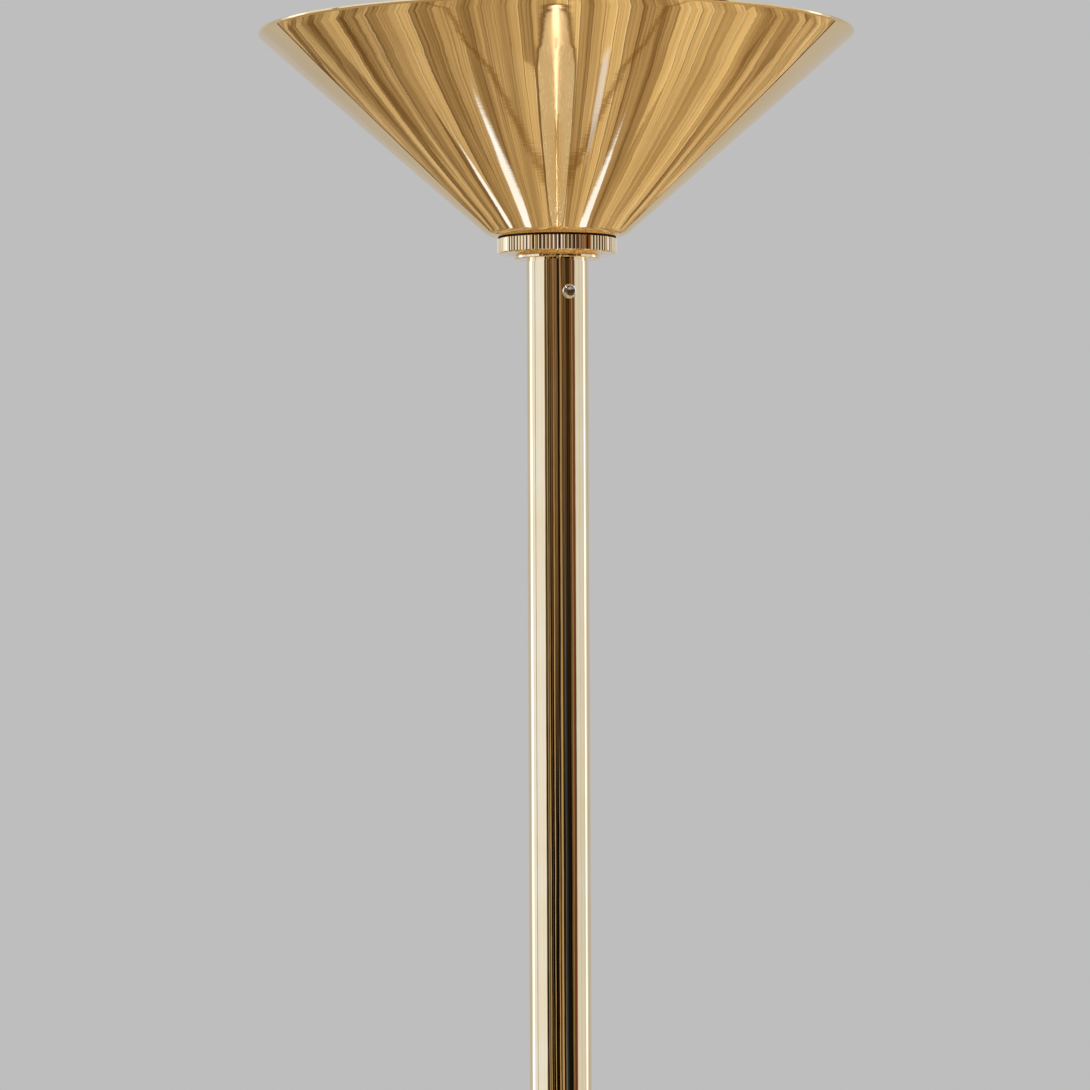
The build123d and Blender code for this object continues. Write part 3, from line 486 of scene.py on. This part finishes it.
def shade_outline():
    slope = Vector((CONE_FLARE, 1)).normalized()
    rise = SHEET / slope.x
    inner_foot = FOOT_R - SHEET * tan(atan2(slope.y, slope.x) / 2)
    foot, seat, rim = (FOOT_R, FLOOR_Z), (SEAT_R, SEAT_Z), (SHADE_R, RIM_Z)
    top = (SHADE_R, SHADE_HIGH.z)
    in_top = (SHADE_R - SHEET, SHADE_HIGH.z)
    rim_slope = Vector((RIM_FLARE, 1)).normalized()
    in_rim = (SHADE_R - SHEET, RIM_Z + SHEET / rim_slope.x - SHEET / RIM_FLARE)
    in_seat = (SEAT_R, SEAT_Z + rise)
    in_foot = (inner_foot, FLOOR_Z + SHEET)
    outline = [(BORE_R, FLOOR_Z), (15 * MM, FLOOR_Z)]
    outline += bend((BORE_R, FLOOR_Z), foot, seat, 8 * MM, 14)
    outline += cone_points(outline[-1], seat, 12) + [seat] + cone_points(seat, rim, 6)
    outline += bend(seat, rim, top, 1.5 * MM, 8)
    outline += bend(rim, top, in_top, 0.35 * MM, 5)
    outline += bend(top, in_top, in_rim, 0.35 * MM, 5)
    outline += bend(in_top, in_rim, in_seat, 0.3 * MM, 3)
    outline += cone_points(outline[-1], in_seat, 6) + [in_seat] + cone_points(in_seat, in_foot, 12)
    outline += bend(in_seat, in_foot, (BORE_R, FLOOR_Z + SHEET), 7 * MM, 14)
    outline += [(15 * MM, FLOOR_Z + SHEET), (BORE_R, FLOOR_Z + SHEET)]
    return outline


shade = lathe("shade_spun", shade_outline(), 720, MATERIALS["spun_brass"], 50)
finish_piece(shade, "head", "shade")

# ---------------------------------------------------------------- springs, filament, threads, felt
def add_coil(name, start, end, radius, wire, turns, material, sides=8, per_turn=20):
    """A round wire wound round the line from start to end, with closed end turns."""
    start, end = Vector(start), Vector(end)
    axis = (end - start).normalized()
    across = axis.orthogonal().normalized()
    other = axis.cross(across)
    steps = int(turns * per_turn)
    run = (end - start).length - 2 * wire
    vertices = []
    faces = []
    for step in range(steps + 1):
        share = step / steps
        angle = tau * turns * share
        eased = share if turns > 20 else share * share * (3 - 2 * share)
        outward = across * cos(angle) + other * sin(angle)
        ahead = (other * cos(angle) - across * sin(angle)).normalized()
        middle = start + axis * (wire + run * eased) + outward * radius
        up = ahead.cross(outward)
        for side in range(sides):
            turn = tau * side / sides
            vertices.append(middle + (outward * cos(turn) + up * sin(turn)) * wire)
    for step in range(steps):
        for side in range(sides):
            a, b = step * sides + side, step * sides + (side + 1) % sides
            faces.append((a, b, b + sides, a + sides))
    faces.append(tuple(range(sides - 1, -1, -1)))
    faces.append(tuple(range(steps * sides, (steps + 1) * sides)))
    return add_mesh(name, vertices, faces, material, 60)


def add_threaded_tube(name, low, high, outer, bore, material):
    """A tube with a real 1 mm helical thread and chamfered ends."""
    around, per_mm, pitch, depth = 48, 6, 1.0 * MM, 0.55 * MM
    rows = int(round((high - low) / MM * per_mm))
    vertices, faces = [], []
    for row in range(rows + 1):
        z = low + (high - low) * row / rows
        chamfer = max(0.0, 0.5 * MM - min(z - low, high - z))
        for k in range(around):
            turn = (z / pitch - k / around) % 1.0
            radius = outer - depth * abs(2 * turn - 1)
            radius = min(radius, outer - chamfer)
            angle = tau * k / around
            vertices.append((radius * cos(angle), radius * sin(angle), z))
    for z in (low, high):
        for k in range(around):
            angle = tau * k / around
            vertices.append((bore * cos(angle), bore * sin(angle), z))
    inner_low, inner_high, last = (rows + 1) * around, (rows + 2) * around, rows * around
    for k in range(around):
        n = (k + 1) % around
        for row in range(rows):
            a, b = row * around + k, row * around + n
            faces.append((a, b, b + around, a + around))
        faces.append((inner_low + n, inner_low + k, inner_high + k, inner_high + n))
        faces.append((k, inner_low + k, inner_low + n, n))
        faces.append((last + k, last + n, inner_high + n, inner_high + k))
    return add_mesh(name, vertices, faces, material, 25)


def middle_of(node):
    low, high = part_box(node)
    return (low + high) / 2


low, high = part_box("contact_spring")
contact_z = middle_of("contact_spring").z
contact_coil = add_coil(
    "contact_coil", (low.x, 0, contact_z), (high.x, 0, contact_z),
    1.42 * MM, 0.27 * MM, 4.5, MATERIALS["spring_steel"],
)
finish_piece(contact_coil, "head", "contact_spring")
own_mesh(contact_coil)

low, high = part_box("switch_spring")
spring_y = middle_of("switch_spring").y
switch_coil = add_coil(
    "switch_coil", (0, spring_y, low.z), (0, spring_y, high.z),
    3.95 * MM, 0.42 * MM, 5.5, MATERIALS["spring_steel"], 8, 28,
)
finish_piece(switch_coil, "stand", "switch_spring")
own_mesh(switch_coil)

low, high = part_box("bulb_filament")
lamp_z = middle_of("bulb_filament").z
filament = add_coil(
    "filament_coil", (low.x, 0, lamp_z), (high.x, 0, lamp_z),
    0.62 * MM, 0.14 * MM, 64, MATERIALS["tungsten"], 6, 12,
)
finish_piece(filament, "head", "bulb_filament")

for node, body in (("head_nipple", "head"), ("base_nipple", "stand")):
    low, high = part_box(node)
    tube = add_threaded_tube(node + "_thread", low.z, high.z, high.x, 3.4 * MM, MATERIALS["zinc_steel"])
    finish_piece(tube, body, node)


SCREW_R = 3.0 * MM
SCREW_TIP = 9.55 * MM  # both ends measured from the pole's axis
SCREW_END = 14.0 * MM
SCREW_TURN = 22  # degrees round from the front
SCREW_FACE_R = 1.78 * MM
RIM_DROP = 1.15 * MM
HEX_HALF = 1.5 * MM
HEX_DEPTH = 2.6 * MM


def add_set_screw(name, turn, height, material):
    """Hexagon-socket set screw with a well-rounded rim, lying along its radial axis."""
    axis = Vector((sin(radians(turn)), -cos(radians(turn)), 0))
    up = Vector((0, 0, 1))
    side = up.cross(axis)
    middle = Vector((0, 0, height))
    around, tip_chamfer, rim_steps = 72, 0.5 * MM, 8

    def spot(angle, reach, along):
        return middle + axis * along + (side * cos(angle) + up * sin(angle)) * reach

    rows = [(SCREW_R - tip_chamfer, SCREW_TIP), (SCREW_R, SCREW_TIP + tip_chamfer)]
    for k in range(rim_steps + 1):
        share = pi / 2 * k / rim_steps
        reach = SCREW_FACE_R + (SCREW_R - SCREW_FACE_R) * cos(share)
        rows.append((reach, SCREW_END - RIM_DROP * (1 - sin(share))))
    angles = [tau * k / around for k in range(around)]
    vertices = [spot(angle, reach, along) for reach, along in rows for angle in angles]
    for along in (SCREW_END - 0.05 * MM, SCREW_END - HEX_DEPTH):
        for angle in angles:
            flat_angle = (angle + pi / 6) % (pi / 3) - pi / 6
            vertices.append(spot(angle, HEX_HALF / cos(flat_angle), along))
    faces = []
    for row in range(len(rows) + 1):
        for k in range(around):
            here, there = row * around + k, row * around + (k + 1) % around
            faces.append((here, there, there + around, here + around))
    faces.append(tuple(range(around - 1, -1, -1)))
    faces.append(tuple(range((len(rows) + 1) * around, (len(rows) + 2) * around)))
    return add_mesh(name, vertices, faces, material, 35)


top_screw = add_set_screw("set_screw_turned", SCREW_TURN, middle_of("set_screw").z, NICKEL)
finish_piece(top_screw, "top_set_screw", "set_screw")

felt_low, felt_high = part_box("base_felt")
FELT_R = felt_high.x
FELT_T = felt_high.z - felt_low.z


def felt_shift(angle, radius, height):
    """Felt isn't flat: its underside is slightly uneven and its cut edge a little ragged."""
    spot = Vector((radius * cos(angle), radius * sin(angle), height))
    if height < FELT_T / 2:
        height += 0.12 * MM * (1 + noise.noise(spot * 55)) * min(1.0, radius / 0.02)
    if radius > FELT_R - 1.5 * MM:
        radius -= 0.18 * MM * (1 + noise.noise(spot * 900))
    return radius, height


felt_outline = [(r * MM, 0.0) for r in range(6, 144, 6)]
felt_outline += [(FELT_R - 0.4 * MM, 0.0), (FELT_R, 0.4 * MM), (FELT_R, FELT_T - 0.3 * MM)]
felt_outline += [(FELT_R - 0.3 * MM, FELT_T), (72 * MM, FELT_T), (6 * MM, FELT_T)]
felt = lathe("felt_pad", felt_outline, 360, MATERIALS["felt"], 60, felt_shift)

# The lathe leaves a bore at the middle: its wall goes and both faces are closed
mesh = bmesh.new()
mesh.from_mesh(felt.data)
wall = [f for f in mesh.faces if all(v.co.xy.length < 6.5 * MM for v in f.verts)]
bmesh.ops.delete(mesh, geom=wall, context="FACES_ONLY")
bmesh.ops.holes_fill(mesh, edges=[e for e in mesh.edges if e.is_boundary], sides=0)
mesh.to_mesh(felt.data)
mesh.free()
finish_piece(felt, "stand", "base_felt")

# ---------------------------------------------------------------- stage, light and camera
BACKDROP = (0.515, 0.515, 0.515, 1)
BOARD_W = 0.082
BOARD_LENGTH = 1.3
CAMERA_PLACE = (0, -1.940, 1.503)


def make_floor():
    """A plain pale floor, round and wide, that mirrors don't see."""
    mesh = bpy.data.meshes.new("floor")
    radius = 14.0
    ring = [(radius * cos(tau * k / 96), radius * sin(tau * k / 96), 0) for k in range(96)]
    mesh.from_pydata(ring, [], [tuple(range(96))])
    material, s, p = surface("floor_paint", Roughness=0.9, Specular_IOR_Level=0.1)
    cloud = s.noise(s.place(), 1.5, 3.0)
    s.feed(p.inputs["Base Color"], s.mix(cloud, (0.53, 0.515, 0.445, 1), (0.58, 0.565, 0.485, 1)))
    mesh.materials.append(material)
    floor = bpy.data.objects.new("floor", mesh)
    bpy.context.scene.collection.objects.link(floor)
    floor.visible_glossy = False


def band(s, azimuth, low, high, soft=1.5):
    """1 between two values, 0 outside, with soft edges."""
    above = s.step(azimuth, low - soft, low + soft)
    past = s.step(azimuth, high - soft, high + soft)
    return s.math("MULTIPLY", above, s.math("SUBTRACT", 1.0, past))


def make_room(s, azimuth, height):
    """The dim room behind the camera: upright streaks, brown higher up and darker below."""
    sway = s.noise(s.vector(0.0, 0.0, s.math("MULTIPLY", height, 0.45)), 1.0, 2.0)
    bearing = s.math("ADD", azimuth, s.math("MULTIPLY", s.math("SUBTRACT", sway, 0.5), 5.0))
    low = s.spread(height, 3.5, -2.0, 0.0, 1.0)
    rise = s.math("MULTIPLY", height, 0.03)
    fine = s.noise(s.vector(s.math("MULTIPLY", bearing, 0.15), rise, 0.0), 1.0, 3.0, 0.65)
    rise = s.math("MULTIPLY", height, 0.05)
    broad = s.noise(s.vector(s.math("MULTIPLY", bearing, 0.055), 7.0, rise), 1.0, 1.0)
    streak = s.math("ADD", s.math("MULTIPLY", fine, 0.8), s.math("MULTIPLY", broad, 0.2))
    soft = s.spread(streak, 0.43, 0.60, 0.0, 1.0)
    soft = s.mix(soft, (0.022, 0.010, 0.003, 1), (0.30, 0.195, 0.11, 1))
    hard = s.spread(streak, 0.51, 0.56, 0.0, 1.0)
    hard = s.mix(hard, (0.002, 0.0015, 0.001, 1), (0.60, 0.43, 0.24, 1))
    colour = s.mix(low, soft, hard)
    lines = (
        (-46.0, 3.0, (0.10, 0.06, 0.02, 1), 0.9),
        (-40.0, 2.0, (0.42, 0.36, 0.26, 1), 0.8),
        (4.0, 2.4, (0.008, 0.006, 0.004, 1), 0.95),
        (9.0, 1.6, (0.45, 0.34, 0.20, 1), 0.8),
        (37.0, 5.0, (0.03, 0.012, 0.003, 1), 0.85),
        (49.0, 2.5, (0.10, 0.05, 0.02, 1), 0.7),
        (54.0, 1.8, (0.36, 0.26, 0.14, 1), 0.8),
        (61.0, 4.0, (0.17, 0.055, 0.03, 1), 0.9),
    )
    for middle, half, tone, depth in lines:
        here = band(s, bearing, middle - half, middle + half, 1.2)
        colour = s.mix(s.math("MULTIPLY", here, depth), colour, tone)
    black, gold = (0.004, 0.003, 0.002, 1), (0.62, 0.45, 0.25, 1)
    for middle, half, tone in (
        (-45.0, 2.6, black),
        (-34.0, 1.0, gold),
        (-28.0, 2.8, black),
        (-16.0, 1.0, gold),
        (-9.0, 2.6, black),
        (13.0, 0.9, gold),
        (17.0, 2.6, black),
        (37.0, 4.0, black),
        (45.0, 2.6, black),
    ):
        here = s.math("MULTIPLY", band(s, bearing, middle - half, middle + half, 0.7), low)
        colour = s.mix(s.math("MULTIPLY", here, 0.9), colour, tone)
    blue = s.math("MULTIPLY", band(s, bearing, 22.0, 31.0, 2.0), low)
    return s.mix(s.math("MULTIPLY", blue, 0.85), colour, (0.018, 0.045, 0.085, 1))


def make_world():
    """A studio by direction: two big softboxes, a dim room behind the camera, a grey wall."""
    world = bpy.data.worlds.new("studio")
    bpy.context.scene.world = world
    s = Shader(world)
    direction = s.add("ShaderNodeTexCoord").outputs["Generated"]
    x, y, z = s.xyz(direction)
    azimuth = s.math("DEGREES", s.math("ARCTAN2", x, s.math("MULTIPLY", y, -1.0)))
    height = s.math("DEGREES", s.math("ARCSINE", z))

    wall = s.noise(direction, 3.0, 3.0)
    colour = s.mix(wall, (0.46, 0.455, 0.45, 1), (0.62, 0.615, 0.61, 1))
    colour = s.mix(band(s, azimuth, -50.0, 68.0, 0.8), colour, make_room(s, azimuth, height))
    glow = s.noise(s.vector(s.math("MULTIPLY", azimuth, 0.12), 5.0, 0.0), 1.0, 2.0)
    slats = s.step(s.noise(s.vector(s.math("MULTIPLY", azimuth, 0.55), 9.0, 0.0), 1.0, 2.0), 0.56, 0.66)
    left = s.mix(glow, (0.78, 0.88, 1.10, 1), (0.97, 1.07, 1.34, 1))
    left = s.mix(s.math("MULTIPLY", slats, 0.45), left, (0.62, 0.60, 0.58, 1))
    right = s.mix(glow, (0.66, 0.72, 0.84, 1), (0.80, 0.88, 1.05, 1))
    right = s.mix(s.math("MULTIPLY", slats, 0.5), right, (0.40, 0.38, 0.36, 1))
    colour = s.mix(band(s, azimuth, -130.0, -50.5, 0.8), colour, left)
    colour = s.mix(band(s, azimuth, -94.5, -91.0, 1.0), colour, (0.40, 0.40, 0.40, 1))
    colour = s.mix(band(s, azimuth, -124.0, -111.5, 1.5), colour, (1.55, 1.7, 2.2, 1))
    colour = s.mix(band(s, azimuth, 69.0, 130.0, 0.8), colour, right)
    colour = s.mix(band(s, azimuth, 85.0, 89.0, 1.5), colour, (0.66, 0.70, 0.74, 1))
    colour = s.mix(band(s, azimuth, 113.0, 122.0, 1.5), colour, (1.55, 1.7, 2.2, 1))

    # Below the wall's foot all round, where the mirrored floor doesn't reach
    below = s.math("SUBTRACT", 1.0, s.step(height, -24.0, -21.0))
    colour = s.mix(below, colour, (0.42, 0.31, 0.16, 1))
    overhead = s.step(height, 25.0, 60.0)
    colour = s.mix(overhead, colour, (0.72, 0.79, 1.0, 1))
    lamp = s.math("MULTIPLY", band(s, azimuth, -1.8, 1.8, 0.8), s.step(height, 35.0, 45.0))
    colour = s.mix(lamp, colour, (48.0, 57.0, 93.0, 1))

    lit = s.add("ShaderNodeBackground")
    s.feed(lit.inputs["Color"], colour)
    plain = s.add("ShaderNodeBackground")
    plain.inputs["Color"].default_value = BACKDROP
    soft = s.add("ShaderNodeBackground")
    soft.inputs["Color"].default_value = (0.62, 0.62, 0.62, 1)
    path = s.add("ShaderNodeLightPath")
    fill = s.add("ShaderNodeMixShader")
    s.feed(fill.inputs[0], path.outputs["Is Diffuse Ray"])
    s.tree.links.new(lit.outputs[0], fill.inputs[1])
    s.tree.links.new(soft.outputs[0], fill.inputs[2])
    choose = s.add("ShaderNodeMixShader")
    s.feed(choose.inputs[0], path.outputs["Is Camera Ray"])
    s.tree.links.new(fill.outputs[0], choose.inputs[1])
    s.tree.links.new(plain.outputs[0], choose.inputs[2])
    out = s.add("ShaderNodeOutputWorld")
    s.tree.links.new(choose.outputs[0], out.inputs["Surface"])


def make_mirrored_floor():
    """The boarded floor that the polished brass mirrors; nothing else sees it."""
    mesh = bpy.data.meshes.new("mirrored_floor")
    half, front, back = 9.0, -9.0, 4.1
    under = -1.0 * MM
    corners = [(-half, front, under), (half, front, under), (half, back, under), (-half, back, under)]
    mesh.from_pydata(corners, [], [(0, 1, 2, 3)])
    material = bpy.data.materials.new("boards")
    s = Shader(material)
    x, y = s.xyz(s.place())[:2]
    board = s.math("DIVIDE", x, BOARD_W)
    row = s.math("FLOOR", board)
    chance = s.add("ShaderNodeTexWhiteNoise", noise_dimensions="1D")
    s.feed(chance.inputs["W"], row)
    offset = s.math("MULTIPLY", chance.outputs["Value"], BOARD_LENGTH)
    length = s.math("DIVIDE", s.math("ADD", y, offset), BOARD_LENGTH)
    piece = s.math("FLOOR", length)
    tone_chance = s.add("ShaderNodeTexWhiteNoise", noise_dimensions="2D")
    s.feed(tone_chance.inputs["Vector"], s.vector(row, piece, 0.0))
    tone = tone_chance.outputs["Value"]
    grain = s.noise(s.vector(s.math("MULTIPLY", x, 60.0), s.math("MULTIPLY", y, 1.1), row), 1.0, 5.0, 0.8)
    figure = s.noise(s.vector(s.math("MULTIPLY", x, 9.0), s.math("MULTIPLY", y, 0.6), 0.0), 1.0, 3.0, 0.6)
    mixed = s.math("ADD", s.math("MULTIPLY", tone, 0.16), s.math("MULTIPLY", grain, 0.52))
    mixed = s.math("ADD", mixed, s.math("MULTIPLY", figure, 0.32))
    colour = s.mix(s.spread(mixed, 0.375, 0.625, 0.0, 1.0), (0.20, 0.115, 0.045, 1), (0.90, 0.75, 0.50, 1))
    joint = s.step(s.math("ABSOLUTE", s.math("SUBTRACT", s.math("FRACT", board), 0.5)), 0.47, 0.485)
    colour = s.mix(s.math("MULTIPLY", joint, 0.75), colour, (0.10, 0.055, 0.02, 1))
    # Painted highlight: a bright line along one edge of some boards.
    edge = s.step(s.math("ABSOLUTE", s.math("SUBTRACT", s.math("FRACT", board), 0.90)), 0.030, 0.018)
    painted_glint = s.math("MULTIPLY", edge, s.step(tone, 0.66, 0.70))
    colour = s.mix(s.math("MULTIPLY", painted_glint, 0.75), colour, (1.05, 1.10, 1.15, 1))
    # Painted shade: the boards grow darker towards -X.
    side = s.spread(x, -1.6, 0.4, 0.78, 1.0)
    colour = s.mix(side, (0.0, 0.0, 0.0, 1), colour)

    # A dark joint across the boards, the shadow round the base, and patches of window light
    away = s.math("ABSOLUTE", x)
    sweep = s.math("SUBTRACT", y, s.math("MULTIPLY", away, 0.13))
    under_edge = s.math("SUBTRACT", 1.0, s.step(s.reach(x, y), 0.150, 0.176))
    colour = s.mix(s.math("MULTIPLY", under_edge, 0.85), colour, (0.13, 0.055, 0.012, 1))
    cross = band(s, sweep, 0.002, 0.020, 0.004)
    colour = s.mix(s.math("MULTIPLY", cross, 0.7), colour, (0.22, 0.12, 0.03, 1))
    for left, right, near, far, glare in (
        (-0.70, -0.55, 0.225, 0.42, 1.0),
        (-1.075, -0.985, 0.73, 0.95, 1.0),
        (0.49, 0.64, 0.215, 0.40, 1.0),
        (0.345, 0.395, -0.02, 0.07, 0.45),
        (-0.55, -0.22, 2.95, 3.3, 1.0),
        (0.20, 0.50, 2.95, 3.3, 1.0),
    ):
        across = band(s, x, left, right, 0.010)
        along = band(s, y, near, far, 0.02)
        patch = s.math("MULTIPLY", s.math("MULTIPLY", across, along), glare)
        colour = s.mix(patch, colour, (1.15, 1.40, 2.2, 1))
    skirting = s.step(y, back - 0.16, back - 0.12)
    colour = s.mix(skirting, colour, (0.08, 0.05, 0.025, 1))
    emission = s.add("ShaderNodeEmission")
    s.feed(emission.inputs["Color"], colour)
    out = s.add("ShaderNodeOutputMaterial")
    s.tree.links.new(emission.outputs[0], out.inputs["Surface"])
    mesh.materials.append(material)
    floor = bpy.data.objects.new("mirrored_floor", mesh)
    bpy.context.scene.collection.objects.link(floor)
    floor.visible_camera = False
    floor.visible_diffuse = False
    floor.visible_transmission = False
    floor.visible_shadow = False


def add_softbox(name, place, target, size, power):
    """An area light that soft-lights the lamp and the floor but isn't mirrored."""
    data = bpy.data.lights.new(name, "AREA")
    data.shape = "RECTANGLE"
    data.size, data.size_y = size
    data.energy = power
    light = bpy.data.objects.new(name, data)
    bpy.context.scene.collection.objects.link(light)
    light.location = place
    light.rotation_euler = (Vector(target) - Vector(place)).to_track_quat("-Z", "Y").to_euler()
    light.visible_glossy = False


def add_camera():
    """A long lens about two metres off, a little under the shade and tilted up slightly."""
    data = bpy.data.cameras.new("camera")
    data.sensor_width = 36.0
    data.lens = 158.9
    data.clip_end = 100.0
    camera = bpy.data.objects.new("camera", data)
    bpy.context.scene.collection.objects.link(camera)
    aim = Euler((radians(90 + 1.188), 0, radians(0.16))).to_matrix().to_4x4()
    roll = Matrix.Rotation(radians(-0.25), 4, "Z")
    camera.matrix_world = Matrix.Translation(CAMERA_PLACE) @ aim @ roll
    bpy.context.scene.camera = camera


make_floor()
make_mirrored_floor()
make_world()
add_softbox("key", (-3.0, -2.5, 4.0), (0, 0, 0.8), (2.5, 2.5), 120)
add_camera()

scene = bpy.context.scene
scene.view_settings.view_transform = "Standard"
scene.view_settings.look = "None"
